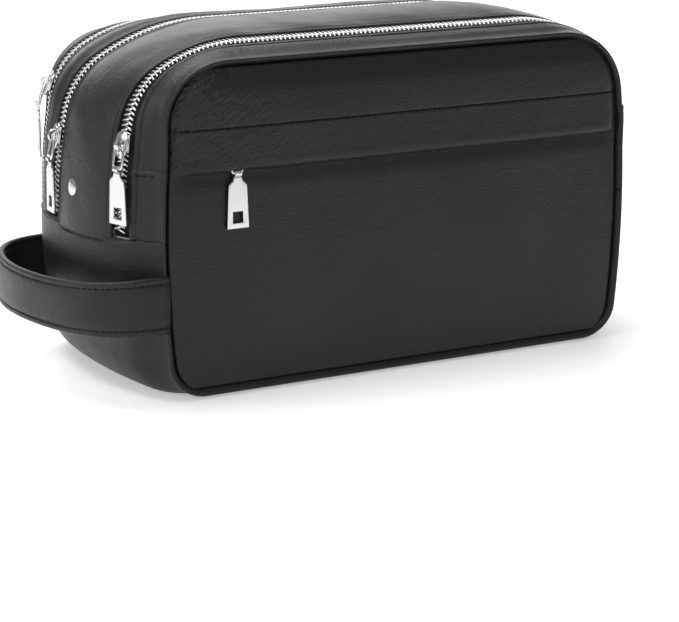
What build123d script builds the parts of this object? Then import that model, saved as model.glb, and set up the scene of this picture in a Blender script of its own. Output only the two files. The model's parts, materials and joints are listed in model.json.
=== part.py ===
from build123d import *
import math
import os

# Shaving kit bag with three zipped compartments, a zipped front pocket and a carry strap on its left end.
# Millimetres. X runs along the bag, the front faces -Y, Z is up, and the origin is the middle of the base.

# Driving dimensions
PANEL_LENGTH = 260.0        # front and rear panels, piping to piping
PANEL_TOP = 161.0
PANEL_BOTTOM = 5.6
DEPTH = 136.0
END_BULGE = 18.0            # how far each padded end stands out at mid depth
TOP_CROWN = 14.0            # how far the top rises at mid depth
FLAT_BASE = 45.0            # half depth of the part of the base that rests flat
FOLD_HEIGHT = 80.0          # seam that the upper half folds at when its zips are open
LEATHER = 2.0
LINING = 0.6
PIPING_RADIUS = 1.9
BODY_GAP = 0.4              # half the gap between pieces that move apart

ZIP_Y = {"front": -47.0, "main": 16.0, "rear": 48.0}
SLIDER_HEIGHT = {"front": 125.0, "main": 120.0, "rear": 141.0}
SLOT_HALF = 5.5             # leather edge to zip centre
TOOTH_GAP = 1.2             # half the gap between the two rows of teeth
TOOTH_EDGE = 3.0
SLOT_BOTTOM = 83.0

SLIDER_LENGTH = 13.0
SLIDER_WIDTH = 9.0
SWING_RADIUS = {            # circle that each slider first follows round the shoulder
    "front": 68.0,
    "main": 78.0,
    "rear": 38.0,
}
TOOTH_DEPTH = 1.8           # middle of the teeth under the leather's surface
PIVOT_OUT = 3.3             # pivot of a pull above the leather
LINK_LENGTH = 11.5
LINK_WIDTH = 6.6
WIRE = 1.2                  # thickness of a pull's link
EYE_HOLE = 1.0
PULL_LENGTH = 27.0
PULL_THICK = 1.2

STRAP_HEIGHT = 48.0
STRAP_WIDTH = 30.0
STRAP_THICK = 3.6
STRAP_REACH = 48.0
STRAP_PIVOT_X = -131.0      # line that the strap lifts about, at its ends
STRAP_SPLIT = 29.0          # from that line to where the sewn ends meet the moving strap

DIVIDER_FRONT_Y = -30.0
DIVIDER_REAR_Y = 32.0
DIVIDER_THICK = 2.4

POCKET_ZIP_Z = 119.0
POCKET_SLIDER_X = -93.0
MESH_ZIP_Z = 128.0
MESH_SLIDER_X = 88.0

os.makedirs("parts", exist_ok=True)


def save(name, *solids):
    """Write the solids of one piece as parts/NAME.step."""
    export_step(Compound(children=list(solids)) if len(solids) > 1 else solids[0], f"parts/{name}.step")


# ---- Outline of the bag at a given depth ----

def bulge(y):
    return max(0.0, 1 - (2 * y / DEPTH) ** 2)


def half_length(y):
    return PANEL_LENGTH / 2 + END_BULGE * bulge(y) ** 0.75


def top_height(y):
    return PANEL_TOP + TOP_CROWN * bulge(y) ** 0.5


def bottom_height(y):
    rise = max(0.0, abs(y) - FLAT_BASE) / (DEPTH / 2 - FLAT_BASE)
    return PANEL_BOTTOM * min(1.0, rise) ** 2


def foot_radius(y):
    return 27 + 8 * bulge(y)


def shoulder_radii(y):
    """Small radius where the end turns in, then the large radius that flows into the top."""
    return 33 + 10 * bulge(y), 33 + 90 * bulge(y)


def side_tilt(y):
    """Angle by which the end leans out below the shoulder and back in above the foot."""
    return 3 + 9 * bulge(y) ** 0.35


def shoulder_start(y):
    """Height of the shoulder's centre of curvature."""
    small, large = shoulder_radii(y)
    turned = math.sin(math.radians(60))
    return top_height(y) - small * turned - large * (1 - turned)


def side_arc(y, inset):
    """Bowed left end at depth y: its low end, middle and high end, and its radius."""
    small = shoulder_radii(y)[0] - inset
    foot = foot_radius(y) - inset
    side = half_length(y) - inset
    tilt = math.radians(side_tilt(y))
    low = (foot - side - foot * math.cos(tilt), bottom_height(y) + inset + foot - foot * math.sin(tilt))
    high = (small - side - small * math.cos(tilt), shoulder_start(y) + small * math.sin(tilt))
    radius = (high[1] - low[1]) / (2 * math.sin(tilt))
    bow = radius * (1 - math.cos(tilt))
    middle = ((low[0] + high[0]) / 2 - bow, (low[1] + high[1]) / 2)
    return low, middle, high, radius


def outline(y, inset):
    """Closed section of the bag at depth y, moved inwards by inset."""
    small, large = (r - inset for r in shoulder_radii(y))
    side = half_length(y) - inset
    low = bottom_height(y) + inset
    foot = foot_radius(y) - inset
    start = shoulder_start(y)
    tilt = side_tilt(y)
    first = CenterArc((small - side, start), small, 180 - tilt, tilt - 60)
    knee = first @ 1
    outward = Vector(math.cos(math.radians(120)), math.sin(math.radians(120)))
    second = CenterArc(knee - outward * large, large, 120, -30)
    crown = second @ 1
    end_low, end_middle, end_high, _ = side_arc(y, inset)
    left = [
        ThreePointArc(end_low, end_middle, end_high),
        first,
        second,
    ]
    top = Line(crown, (-crown.X, crown.Y))
    right = [e.mirror(Plane.YZ) for e in reversed(left)]
    foot_right = CenterArc((side - foot, low + foot), foot, -tilt, tilt - 90)
    base = Line((side - foot, low), (foot - side, low))
    foot_left = CenterArc((foot - side, low + foot), foot, 270, tilt - 90)
    wire = Wire([*left, top, *right, foot_right, base, foot_left])
    return Plane((0, y, 0), x_dir=(1, 0, 0), z_dir=(0, -1, 0)) * Face(wire)


def filled(y_low, y_high, inset):
    """Solid of the bag's outer form between two depths."""
    count = max(2, round((y_high - y_low) / 9) + 1)
    depths = [y_low + (y_high - y_low) * i / (count - 1) for i in range(count)]
    marks = [m for m in (-FLAT_BASE, FLAT_BASE) if y_low + 1 < m < y_high - 1]
    inner = [d for d in depths[1:-1] if all(abs(d - m) > 3 for m in marks)]
    return loft([outline(y, inset) for y in sorted([y_low, *inner, *marks, y_high])], ruled=True)


def shell(y_low, y_high, outer, inner):
    """Wall that follows the outer form between two depths and two insets."""
    return filled(y_low, y_high, outer) - filled(y_low - 0.5, y_high + 0.5, inner)


def slab(z_low, z_high):
    return Pos(0, 0, (z_low + z_high) / 2) * Box(500, 500, z_high - z_low)


def above(solid, height):
    return solid & slab(height, 400)


def below(solid, height):
    return solid & slab(-100, height)


def panel(y_low, y_high, inset):
    """Flat panel with the outline of the bag's face."""
    face = outline(DEPTH / 2, inset)
    return extrude(Pos(0, y_low - DEPTH / 2, 0) * face, amount=y_high - y_low, dir=(0, 1, 0))


UPPER = FOLD_HEIGHT + BODY_GAP
LOWER = FOLD_HEIGHT - BODY_GAP
FACE = DEPTH / 2
ROOM = FACE - 3.0           # depth that the walls between the two pipings fill

RIVET_Y, RIVET_Z = -10.0, 99.0
RIVET_SHANK = 1.5
rivet_out = Plane((-half_length(RIVET_Y), RIVET_Y, RIVET_Z), z_dir=(-1, 0, 0))
rivet_hole = rivet_out * Cylinder(RIVET_SHANK, 24)

# ---- Outer leather: lower trough, bands and strips between the zips ----

gusset = below(shell(-ROOM, ROOM, 0, LEATHER), LOWER)
save("lower_gusset", gusset)

bands = {
    "front_strip": (-ROOM, ZIP_Y["front"] - SLOT_HALF),
    "centre_band": (ZIP_Y["front"] + SLOT_HALF, ZIP_Y["main"] - SLOT_HALF),
    "rear_band": (ZIP_Y["main"] + SLOT_HALF, ZIP_Y["rear"] - SLOT_HALF),
    "rear_strip": (ZIP_Y["rear"] + SLOT_HALF, ROOM),
}
for name, (y_low, y_high) in bands.items():
    wall = above(shell(y_low, y_high, 0, LEATHER), UPPER)
    save(name, wall - rivet_hole if name == "centre_band" else wall)

# ---- Zip tapes and teeth: one row on each side of every zip ----

for name, y in ZIP_Y.items():
    for side, row in (("front", -1), ("back", 1)):
        tape = sorted((y + row * TOOTH_EDGE, y + row * (SLOT_HALF - 0.2)))
        teeth = sorted((y + row * TOOTH_GAP, y + row * TOOTH_EDGE))
        save(f"{name}_zip_tape_{side}", above(shell(*tape, 1.2, 2.0), SLOT_BOTTOM))
        save(f"{name}_zip_teeth_{side}", above(shell(*teeth, 0.6, 3.0), SLOT_BOTTOM))

# ---- Piping round the front and rear panels ----

pipings = []
for name, y in (("front", -FACE + 1), ("rear", FACE - 1)):
    rim = outline(FACE, 0).outer_wire()
    path = Pos(0, y - FACE, 0) * rim
    ring = sweep(Plane(path @ 0, z_dir=path % 0) * Circle(PIPING_RADIUS), path=path)
    pipings.append(ring)
    save(f"{name}_piping_lower", below(ring, LOWER))
    save(f"{name}_piping_upper", above(ring, UPPER))

# ---- Front face: lower panel, pocket panel, overlapping welt, yoke ----

PANEL_INSET = PIPING_RADIUS + 0.3
front_face = panel(-FACE + 0.6, -FACE + 2.0, PANEL_INSET)
save("front_panel_lower", below(front_face, LOWER))
save("front_panel_pocket", front_face & slab(UPPER, 111))
save("front_yoke", above(front_face, 131))
welt = panel(-FACE - 2.4, -FACE - 1.2, PANEL_INSET) & slab(113, 133)
bridge = panel(-FACE - 2.4, -FACE + 0.5, PANEL_INSET) & slab(131.2, 133)
save("front_welt", welt + bridge)

pocket_tape = panel(-FACE + 3.4, -FACE + 4.2, PANEL_INSET + 1)
pocket_teeth = panel(-FACE + 2.8, -FACE + 4.8, PANEL_INSET + 12)
save(
    "pocket_zip_tapes",
    pocket_tape & slab(POCKET_ZIP_Z - 7, POCKET_ZIP_Z - TOOTH_EDGE),
    pocket_tape & slab(POCKET_ZIP_Z + TOOTH_EDGE, POCKET_ZIP_Z + 12),
)
save(
    "pocket_zip_teeth",
    pocket_teeth & slab(POCKET_ZIP_Z - TOOTH_EDGE, POCKET_ZIP_Z - TOOTH_GAP),
    pocket_teeth & slab(POCKET_ZIP_Z + TOOTH_GAP, POCKET_ZIP_Z + TOOTH_EDGE),
)
save("pocket_lining", panel(-FACE + 4.6, -FACE + 5.2, PANEL_INSET + 1) & slab(UPPER, 112))
save("flap_lining", panel(-FACE + 10.0, -FACE + 11.2, PANEL_INSET + 2) & slab(UPPER + 1, 200))
elastics = [
    Pos(x, -FACE + 12.2, 116) * Box(25, 0.9, 66)
    for x in (-78, 78)
]
save("elastic_straps", *elastics)

# ---- Rear face ----

rear_face = panel(FACE - 2.0, FACE - 0.6, PANEL_INSET)
save("rear_panel_lower", below(rear_face, LOWER))
save("rear_panel_upper", above(rear_face, UPPER))
save("rear_flap_lining", above(panel(FACE - 4.4, FACE - 3.6, PANEL_INSET + 2), UPPER + 1))

# ---- Inside: linings, dividers, pockets, base board ----

save("lower_lining", below(shell(-ROOM + 1, ROOM - 1, LEATHER + 0.3, LEATHER + 0.3 + LINING), LOWER - 1))
y_low, y_high = bands["centre_band"]
centre_lining = shell(y_low + 1, y_high - 1, LEATHER + 0.3, LEATHER + 0.3 + LINING)
save("centre_band_lining", above(centre_lining, UPPER + 1) - rivet_hole)

INNER = LEATHER + LINING + 1.0


def divider(y):
    """Flat divider wall centred at depth y, clear of the linings round it."""
    face = Pos(0, -DIVIDER_THICK / 2, 0) * outline(y, INNER)
    return extrude(face, amount=DIVIDER_THICK, dir=(0, 1, 0))


rear_divider = divider(DIVIDER_REAR_Y)
save("front_divider", divider(DIVIDER_FRONT_Y))
save("rear_divider_lower", below(rear_divider, LOWER))
save("rear_divider_upper", above(rear_divider, UPPER))

mesh_y = DIVIDER_FRONT_Y - DIVIDER_THICK / 2 - 3.0
save("mesh_pocket", Pos(0, mesh_y, 71) * Box(232, 0.8, 102))
mesh_tapes = [
    Pos(0, mesh_y, MESH_ZIP_Z - 4.1) * Box(232, 0.8, 2.2),
    Pos(0, mesh_y, MESH_ZIP_Z + 4.1) * Box(232, 0.8, 2.2),
]
save("mesh_zip_tapes", *mesh_tapes)
mesh_rows = [
    Pos(0, mesh_y, MESH_ZIP_Z + s * (TOOTH_GAP + TOOTH_EDGE) / 2) * Box(226, 2.0, TOOTH_EDGE - TOOTH_GAP)
    for s in (-1, 1)
]
save("mesh_zip_teeth", *mesh_rows)
slip_y = DIVIDER_REAR_Y - DIVIDER_THICK / 2 - 2.0
slip_pocket = Pos(0, slip_y, 62) * Box(240, 0.8, 100)
save("slip_pocket_lower", below(slip_pocket, LOWER))
save("slip_pocket_upper", above(slip_pocket, UPPER))
save("base_board", Pos(0, 0, INNER + 1.0) * Box(226, 2 * -(DIVIDER_FRONT_Y + 6), 2.0))

# ---- Rivet in the middle of the left end ----

_, end_middle, _, end_radius = side_arc(RIVET_Y, 0)
rivet_proud = -half_length(RIVET_Y) - end_middle[0] - (RIVET_Z - end_middle[1]) ** 2 / (2 * end_radius)
shank = Pos(0, 0, rivet_proud - 1.4) * Cylinder(RIVET_SHANK, 4.4)
rivet_head = Pos(0, 0, rivet_proud + 1.0) * Cylinder(5.5, 1.0)
save("rivet", rivet_out * (rivet_head + shank))

# ---- Sliders, links and pulls ----


def slider():
    """Slider with its chain up local Y and its outer plate towards +Z, the leather's surface at Z = 0."""
    length, width = SLIDER_LENGTH, SLIDER_WIDTH
    outer = Pos(0, 0, 0.9) * extrude(RectangleRounded(width, length, 2.5), amount=1.0)
    inner = Pos(0, 0, -5.9) * extrude(RectangleRounded(width, length, 2.5), amount=1.0)
    post = Pos(0, 3.4, -2.0) * Box(0.6, 3.0, 6.4)
    crown = Pos(0, 0, PIVOT_OUT + 0.2) * Box(2.8, 8.0, 3.6)
    hole = Pos(0, 0, PIVOT_OUT) * Rot(0, 90, 0) * Cylinder(EYE_HOLE, 10)
    return outer + inner + post + (crown - hole)


def link():
    """Square link of flat wire hanging from its pivot at the origin along -Y."""
    frame = RectangleRounded(LINK_WIDTH, LINK_LENGTH + WIRE, 0.8)
    hole = Rectangle(LINK_WIDTH - 2 * WIRE, LINK_LENGTH - WIRE)
    return extrude(Pos(0, -LINK_LENGTH / 2, -WIRE / 2) * (frame - hole), amount=WIRE)


def pull(eye_length=3.4):
    """Flat pull hanging from its pivot at the origin along -Y, with a square window near its foot."""
    foot, shoulder, neck = 5.8, 5.2, 2.3
    blade = Polyline(
        (-neck, -0.5), (-neck, -3.5), (-shoulder, -6.5), (-foot, -PULL_LENGTH),
        (foot, -PULL_LENGTH), (shoulder, -6.5), (neck, -3.5), (neck, -0.5), close=True,
    )
    plate = Pos(0, 0, -PULL_THICK / 2) * extrude(make_face(blade), amount=PULL_THICK)
    window = Pos(0, -PULL_LENGTH + 5.2, 0) * Box(5.5, 5.5, 10)
    barrel = Rot(0, 90, 0) * Cylinder(1.7, eye_length)
    around = Rot(0, 90, 0) * Cylinder(1.7, 20)
    bore = Rot(0, 90, 0) * Cylinder(EYE_HOLE, 20)
    return (plate - around - window) + (barrel + Pos(0, -2.0, 0) * Box(3.4, 2.0, PULL_THICK)) - bore


def seat(y, height, reach):
    """Where a slider sits on the left end: the point, its lean, and the axis it turns about at that reach."""
    _, middle, high, radius = side_arc(y, 0)
    small = shoulder_radii(y)[0]
    start = shoulder_start(y)
    if height > high[1]:
        lean = math.asin((height - start) / small)
        point = (small - half_length(y) - small * math.cos(lean), height)
    else:
        lean = math.asin((height - middle[1]) / radius)
        point = (middle[0] + radius * (1 - math.cos(lean)), height)
    centre = (point[0] + reach * math.cos(lean), y, point[1] - reach * math.sin(lean))
    return point, math.degrees(lean), Axis(centre, (0, 1, 0))


for name, y in ZIP_Y.items():
    point, lean, swing = seat(y, SLIDER_HEIGHT[name], SWING_RADIUS[name])
    turn = math.atan(half_length(y + 0.5) - half_length(y - 0.5))
    normal = Vector(-math.cos(turn), -math.sin(turn), 0)
    across = Vector(math.sin(turn), -math.cos(turn), 0)
    middle = Vector(point[0] + TOOTH_DEPTH, y, point[1]) + normal * TOOTH_DEPTH
    seated = Plane(middle, x_dir=across, z_dir=normal) * Rot(-lean, 0, 0)
    save(f"{name}_zip_slider", seated * slider())
    pivot = (seated * Pos(0, 0, PIVOT_OUT)).position
    foot = (seated * Pos(0, -LINK_LENGTH, PIVOT_OUT)).position
    save(f"{name}_zip_link", seated * Pos(0, 0, PIVOT_OUT) * link())
    save(f"{name}_zip_pull", Plane(foot, x_dir=across, z_dir=normal) * pull())

FRONT_WALL = -FACE + 2.8
flat_plate = RectangleRounded(SLIDER_LENGTH, SLIDER_WIDTH, 2.5)
PIN_DROP = 8.5              # pull's pin below the zip's centre line
PIN_OUT = 4.1               # pull's pin in front of the teeth


def flat_slider(front):
    """Slider of a straight zip whose teeth start at depth `front`, with a bail that hangs the pull below it."""
    outer = Pos(0, front - 1.6, 0) * Rot(90, 0, 0) * extrude(flat_plate, amount=1.0)
    inner = Pos(0, front + 3.8, 0) * Rot(90, 0, 0) * extrude(flat_plate, amount=1.0)
    post = Pos(-3.4, front + 0.6, 0) * Box(3.0, 5.4, 0.8)
    pin = Pos(0, front - PIN_OUT, -PIN_DROP) * Rot(0, 90, 0) * Cylinder(0.7, 6.6)
    bail = [Pos(x, front - 3.2, -PIN_DROP / 2) * Box(1.2, 1.3, PIN_DROP) for x in (-2.7, 2.7)]
    return outer + inner + post + pin + bail[0] + bail[1]


MESH_WALL = mesh_y - 1.0
facing = {"x_dir": (1, 0, 0), "z_dir": (0, -1, 0)}
pocket_pin = (POCKET_SLIDER_X, FRONT_WALL - PIN_OUT, POCKET_ZIP_Z - PIN_DROP)
mesh_pin = (MESH_SLIDER_X, MESH_WALL - PIN_OUT, MESH_ZIP_Z - PIN_DROP)
save("pocket_zip_slider", Pos(POCKET_SLIDER_X, 0, POCKET_ZIP_Z) * flat_slider(FRONT_WALL))
save("pocket_zip_pull", Plane(pocket_pin, **facing) * pull())
save("mesh_zip_slider", Pos(MESH_SLIDER_X, 0, MESH_ZIP_Z) * flat_slider(MESH_WALL))
save("mesh_zip_pull", Plane(mesh_pin, **facing) * pull())

# ---- Carry strap: a flat band that bows out from the left end ----

def strap_point(t, side):
    """Point on the band's face; t runs 0 to pi from the front seam to the rear seam."""
    def centre(u):
        reach = STRAP_REACH * math.sin(u) ** 0.6
        return Vector(-PANEL_LENGTH / 2 - 1 - reach, -(FACE - 2) * math.cos(u))
    ahead = centre(t + 0.01) - centre(t - 0.01)
    out = Vector(ahead.Y, -ahead.X).normalized()
    point = centre(t) - out * side * STRAP_THICK / 2
    return (point.X, point.Y)


steps = [0.02 + (math.pi - 0.04) * i / 24 for i in range(25)]
outer_edge = Spline([strap_point(t, 1) for t in steps])
inner_edge = Spline([strap_point(t, -1) for t in reversed(steps)])
ends = [Line(outer_edge @ 1, inner_edge @ 0), Line(inner_edge @ 1, outer_edge @ 0)]
band = Face(Wire([outer_edge, ends[0], inner_edge, ends[1]]))
strap = extrude(Pos(0, 0, STRAP_HEIGHT - STRAP_WIDTH / 2) * band, amount=STRAP_WIDTH, dir=(0, 0, 1))
strap_pivot = Pos(STRAP_PIVOT_X, 0, STRAP_HEIGHT) * Rot(90, 0, 0)
save("handle_strap", strap - strap_pivot * Cylinder(STRAP_SPLIT + BODY_GAP, 2 * DEPTH))
sewn = (strap & strap_pivot * Cylinder(STRAP_SPLIT, 2 * DEPTH)) - filled(-ROOM, ROOM, 0)
for ring in pipings:
    sewn -= ring
save("handle_ends", *[s for s in sewn.solids() if s.volume > 100])
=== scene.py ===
import json
import math

import bmesh
import bpy
from mathutils import Matrix, Vector, noise


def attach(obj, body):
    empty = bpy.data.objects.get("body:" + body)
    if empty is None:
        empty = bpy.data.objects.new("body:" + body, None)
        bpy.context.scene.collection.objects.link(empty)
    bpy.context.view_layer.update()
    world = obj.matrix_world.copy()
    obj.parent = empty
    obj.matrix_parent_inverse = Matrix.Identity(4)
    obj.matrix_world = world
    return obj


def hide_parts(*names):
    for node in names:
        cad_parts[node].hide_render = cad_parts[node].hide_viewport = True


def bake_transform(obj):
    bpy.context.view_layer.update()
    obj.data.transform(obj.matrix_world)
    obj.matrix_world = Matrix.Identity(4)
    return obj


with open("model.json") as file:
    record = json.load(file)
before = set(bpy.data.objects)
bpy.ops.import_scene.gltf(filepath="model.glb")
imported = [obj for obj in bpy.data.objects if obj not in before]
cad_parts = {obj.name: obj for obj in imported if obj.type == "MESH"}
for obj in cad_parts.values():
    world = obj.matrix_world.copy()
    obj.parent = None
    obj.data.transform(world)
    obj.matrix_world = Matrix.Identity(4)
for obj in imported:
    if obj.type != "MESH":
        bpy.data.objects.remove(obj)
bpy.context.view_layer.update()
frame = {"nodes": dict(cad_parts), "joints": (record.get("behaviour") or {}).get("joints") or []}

MM = 0.001

# ---- Table, light and camera ----
# The bag stands on a plain white studio sweep under one large overhead softbox, with softboxes
# to its front and left and a long one behind for the rims, and is seen from its front left.


def new_material(name):
    """Empty material; returns it with its nodes, its links and its Principled shader."""
    material = bpy.data.materials.new(name)
    material.use_nodes = True
    tree = material.node_tree
    return material, tree.nodes, tree.links, tree.nodes["Principled BSDF"]


def soft_lamp(name, place, target, size, power):
    """Rectangular softbox at a place, facing a target."""
    data = bpy.data.lights.new(name, "AREA")
    data.shape = "RECTANGLE"
    data.size, data.size_y = size
    data.energy = power
    lamp = bpy.data.objects.new(name, data)
    lamp.location = place
    lamp.rotation_euler = (Vector(target) - Vector(place)).to_track_quat("-Z", "Y").to_euler()
    bpy.context.collection.objects.link(lamp)


soft_lamp("overhead_softbox", (-0.15, 0.25, 1.25), (0, 0, 0.1), (1.3, 0.9), 17.0)
soft_lamp("front_softbox", (-0.9, -1.7, 0.95), (0, 0, 0.06), (1.4, 1.2), 7.0)
soft_lamp("left_softbox", (-1.6, 0.2, 0.8), (-0.1, 0, 0.1), (0.9, 0.9), 7.0)
soft_lamp("rear_softbox", (0.8, 1.9, 0.8), (0, 0, 0.15), (2.4, 0.7), 13.0)

world = bpy.data.worlds.new("studio_world")
bpy.context.scene.world = world
world.use_nodes = True
sky_nodes, sky_links = world.node_tree.nodes, world.node_tree.links
sky_seen = sky_nodes.new("ShaderNodeLightPath")
sky_white = sky_nodes.new("ShaderNodeBackground")
sky_white.inputs["Color"].default_value = (1, 1, 1, 1)
sky_white.inputs["Strength"].default_value = 1.0
sky_plain = sky_nodes["Background"]
sky_plain.inputs["Color"].default_value = (1, 1, 1, 1)
sky_plain.inputs["Strength"].default_value = 0.3
sky_pick = sky_nodes.new("ShaderNodeMixShader")
sky_links.new(sky_seen.outputs["Is Camera Ray"], sky_pick.inputs["Fac"])
sky_links.new(sky_plain.outputs[0], sky_pick.inputs[1])
sky_links.new(sky_white.outputs[0], sky_pick.inputs[2])
sky_links.new(sky_pick.outputs[0], sky_nodes["World Output"].inputs["Surface"])

FLOOR_HALF = 6.0
floor_mesh = bpy.data.meshes.new("studio_floor")
floor_bm = bmesh.new()
bmesh.ops.create_grid(floor_bm, x_segments=2, y_segments=2, size=FLOOR_HALF)
floor_bm.to_mesh(floor_mesh)
floor_bm.free()
floor = bpy.data.objects.new("studio_floor", floor_mesh)
bpy.context.collection.objects.link(floor)
floor_paint, floor_nodes, floor_links, floor_shader = new_material("floor_white")
floor_shader.inputs["Base Color"].default_value = (0.8, 0.8, 0.805, 1)
floor_shader.inputs["Roughness"].default_value = 0.6
floor_shader.inputs["Emission Color"].default_value = (1, 1, 1, 1)
floor_seen = floor_nodes.new("ShaderNodeLightPath")
floor_glow = floor_nodes.new("ShaderNodeEmission")
floor_glow.inputs["Strength"].default_value = 0.4
floor_dark = floor_nodes.new("ShaderNodeEmission")
floor_dark.inputs["Strength"].default_value = 0.0
floor_pick = floor_nodes.new("ShaderNodeMixShader")
floor_sum = floor_nodes.new("ShaderNodeAddShader")
floor_share = floor_nodes.new("ShaderNodeMath")
floor_share.operation = "MULTIPLY_ADD"
floor_share.inputs[1].default_value = 0.75
floor_links.new(floor_seen.outputs["Is Glossy Ray"], floor_share.inputs[0])
floor_links.new(floor_seen.outputs["Is Camera Ray"], floor_share.inputs[2])
floor_links.new(floor_share.outputs[0], floor_pick.inputs["Fac"])
floor_links.new(floor_dark.outputs[0], floor_pick.inputs[1])
floor_links.new(floor_glow.outputs[0], floor_pick.inputs[2])
floor_links.new(floor_shader.outputs[0], floor_sum.inputs[0])
floor_links.new(floor_pick.outputs[0], floor_sum.inputs[1])
floor_links.new(floor_sum.outputs[0], floor_nodes["Material Output"].inputs["Surface"])
floor_mesh.materials.append(floor_paint)

VIEW_TURN, VIEW_RISE, VIEW_DISTANCE = math.radians(-29.5), math.radians(14.3), 1.277
camera_data = bpy.data.cameras.new("studio_camera")
camera_data.sensor_width = 36.0
camera_data.lens = 127.2
camera = bpy.data.objects.new("studio_camera", camera_data)
toward = Vector((
    math.sin(VIEW_TURN) * math.cos(VIEW_RISE),
    -math.cos(VIEW_TURN) * math.cos(VIEW_RISE),
    math.sin(VIEW_RISE),
))
camera.location = Vector((0.0025, 0, 0.015)) + toward * VIEW_DISTANCE
camera.rotation_euler = (-toward).to_track_quat("-Z", "Y").to_euler()
bpy.context.collection.objects.link(camera)
bpy.context.scene.camera = camera
bpy.context.scene.view_settings.view_transform = "Standard"

# ---- Padded form of the bag ----
# All the leather follows one sewn form: a rounded box whose ends bow out and whose top crowns,
# both most at mid depth. A place on it is a depth and a length round the section from its top.

HALF_DEPTH = 68 * MM
FLAT_BASE = 45 * MM
FOLD = 80 * MM
ZIP_DEPTH = {"front": -47 * MM, "main": 16 * MM, "rear": 48 * MM}
SLOT_HALF = 5.5 * MM


def bulge(y):
    return max(0.0, 1 - (y / HALF_DEPTH) ** 2)


def section(y):
    """Arcs and flats of the right half of a section: (length, centre x, centre z, radius, start angle)."""
    fill = bulge(y)
    half = (130 + 18 * fill ** 0.75) * MM
    top = (161 + 14 * fill ** 0.5) * MM
    rise = max(0.0, abs(y) - FLAT_BASE) / (HALF_DEPTH - FLAT_BASE)
    base = 3.0 * MM * min(1.0, rise) ** 2
    small, large, foot = ((33 + 10 * fill) * MM, (33 + 90 * fill) * MM, (18 + 9 * fill) * MM)
    tilt = math.radians(3 + 9 * fill ** 0.35)
    knee, full = math.radians(60), math.radians(90)
    start = top - small * math.sin(knee) - large * (1 - math.sin(knee))
    crown = half - small * (1 - math.cos(knee)) - large * math.cos(knee)
    side_x = half - small * (1 - math.cos(tilt))
    high = start + small * math.sin(tilt)
    low = base + foot * (1 - math.sin(tilt))
    bow = (high - low) / (2 * math.sin(tilt))
    return [
        (crown, 0, top, 0, 0),
        (large * (full - knee), crown, top - large, large, full),
        (small * (knee - tilt), half - small, start, small, knee),
        (bow * 2 * tilt, side_x - bow * math.cos(tilt), (high + low) / 2, bow, tilt),
        (foot * (full - tilt), half - foot, base + foot, foot, -tilt),
        (half - foot, half - foot, base, 0, 0),
    ]


sections = {}


def half_round(y):
    """Sections are worked out once for each depth."""
    key = round(y, 7)
    if key not in sections:
        sections[key] = section(y)
    return sections[key]


def smooth(value):
    value = max(0.0, min(1.0, value))
    return value * value * (3 - 2 * value)


def settled(point):
    """How the filled bag has settled: its front edges drawn in, its rear right shoulder sunk."""
    drawn = 3.6 * MM * smooth((-point.y - 48 * MM) / (16 * MM)) * smooth(-point.x / (60 * MM))
    low = smooth((point.x - 55 * MM) / (75 * MM)) * smooth((point.y + 38 * MM) / (50 * MM))
    sunk = 8 * MM * low * smooth((point.z - 90 * MM) / (60 * MM))
    in_right = 1.3 * MM * smooth((-point.y - 48 * MM) / (16 * MM)) * smooth(point.x / (60 * MM))
    across = (
        drawn * smooth((165 * MM - point.z) / (50 * MM)) - in_right
        * smooth((122 * MM - point.z) / (22 * MM))
    )
    return point + Vector((across, 0, -sunk))


def on_form(y, run):
    """Point of the form at depth y and length `run` from its top middle, negative to the left."""
    side = -1 if run < 0 else 1
    left = abs(run)
    pieces = half_round(y)
    for number, (length, cx, cz, radius, angle) in enumerate(pieces):
        if left <= length or number == len(pieces) - 1:
            break
        left -= length
    if radius:
        turned = angle - left / radius
        return settled(Vector((side * (cx + radius * math.cos(turned)), y, cz + radius * math.sin(turned))))
    return settled(Vector((side * (cx + left if number == 0 else cx - left), y, cz)))


def run_to(y, height):
    """Length round the section from its top middle down to a height on the bowed end."""
    pieces = half_round(y)
    total = 0.0
    for length, cx, cz, radius, angle in pieces[:5]:
        if radius and cz + radius * math.sin(angle - length / radius) <= height:
            return total + radius * (angle - math.asin(max(-1.0, min(1.0, (height - cz) / radius))))
        total += length
    return total


def half_girth(y):
    return sum(piece[0] for piece in half_round(y))


def outward(y, run):
    """Outward normal of the form."""
    step = 0.2 * MM
    y = max(-HALF_DEPTH + 2 * step, min(HALF_DEPTH - 2 * step, y))
    along = on_form(y, run + step) - on_form(y, run - step)
    across = on_form(y + step, run) - on_form(y - step, run)
    normal = along.cross(across)
    return -normal.normalized() if normal.z < 0 and abs(run) < run_to(y, 120 * MM) else (
        normal.normalized() if normal.dot(Vector((on_form(y, run).x, 0, on_form(y, run).z - FOLD))) > 0
        else -normal.normalized()
    )


def skin(y, run, lift=0.0):
    """Point on the form, raised by `lift` along its normal."""
    return on_form(y, run) + outward(y, run) * lift


def ruffle(point, size, amount, seed=0.0):
    """Slow uneven swelling of padded leather."""
    return amount * noise.noise((point + Vector((seed, seed * 0.7, -seed))) / size)


def finish_piece(name, bm, material, body, *nodes, slot="leather", flip=False):
    """Mesh object from a bmesh, smooth shaded, riding on a body and standing for CAD nodes."""
    bmesh.ops.recalc_face_normals(bm, faces=bm.faces[:])
    if flip:
        bmesh.ops.reverse_faces(bm, faces=bm.faces[:])
    mesh = bpy.data.meshes.new(name)
    bm.to_mesh(mesh)
    bm.free()
    mesh.polygons.foreach_set("use_smooth", [True] * len(mesh.polygons))
    mesh.materials.append(material)
    piece = bpy.data.objects.new(name, mesh)
    bpy.context.collection.objects.link(piece)
    if body:
        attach(piece, body)
    if nodes:
        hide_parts(*nodes)
    return piece


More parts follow.
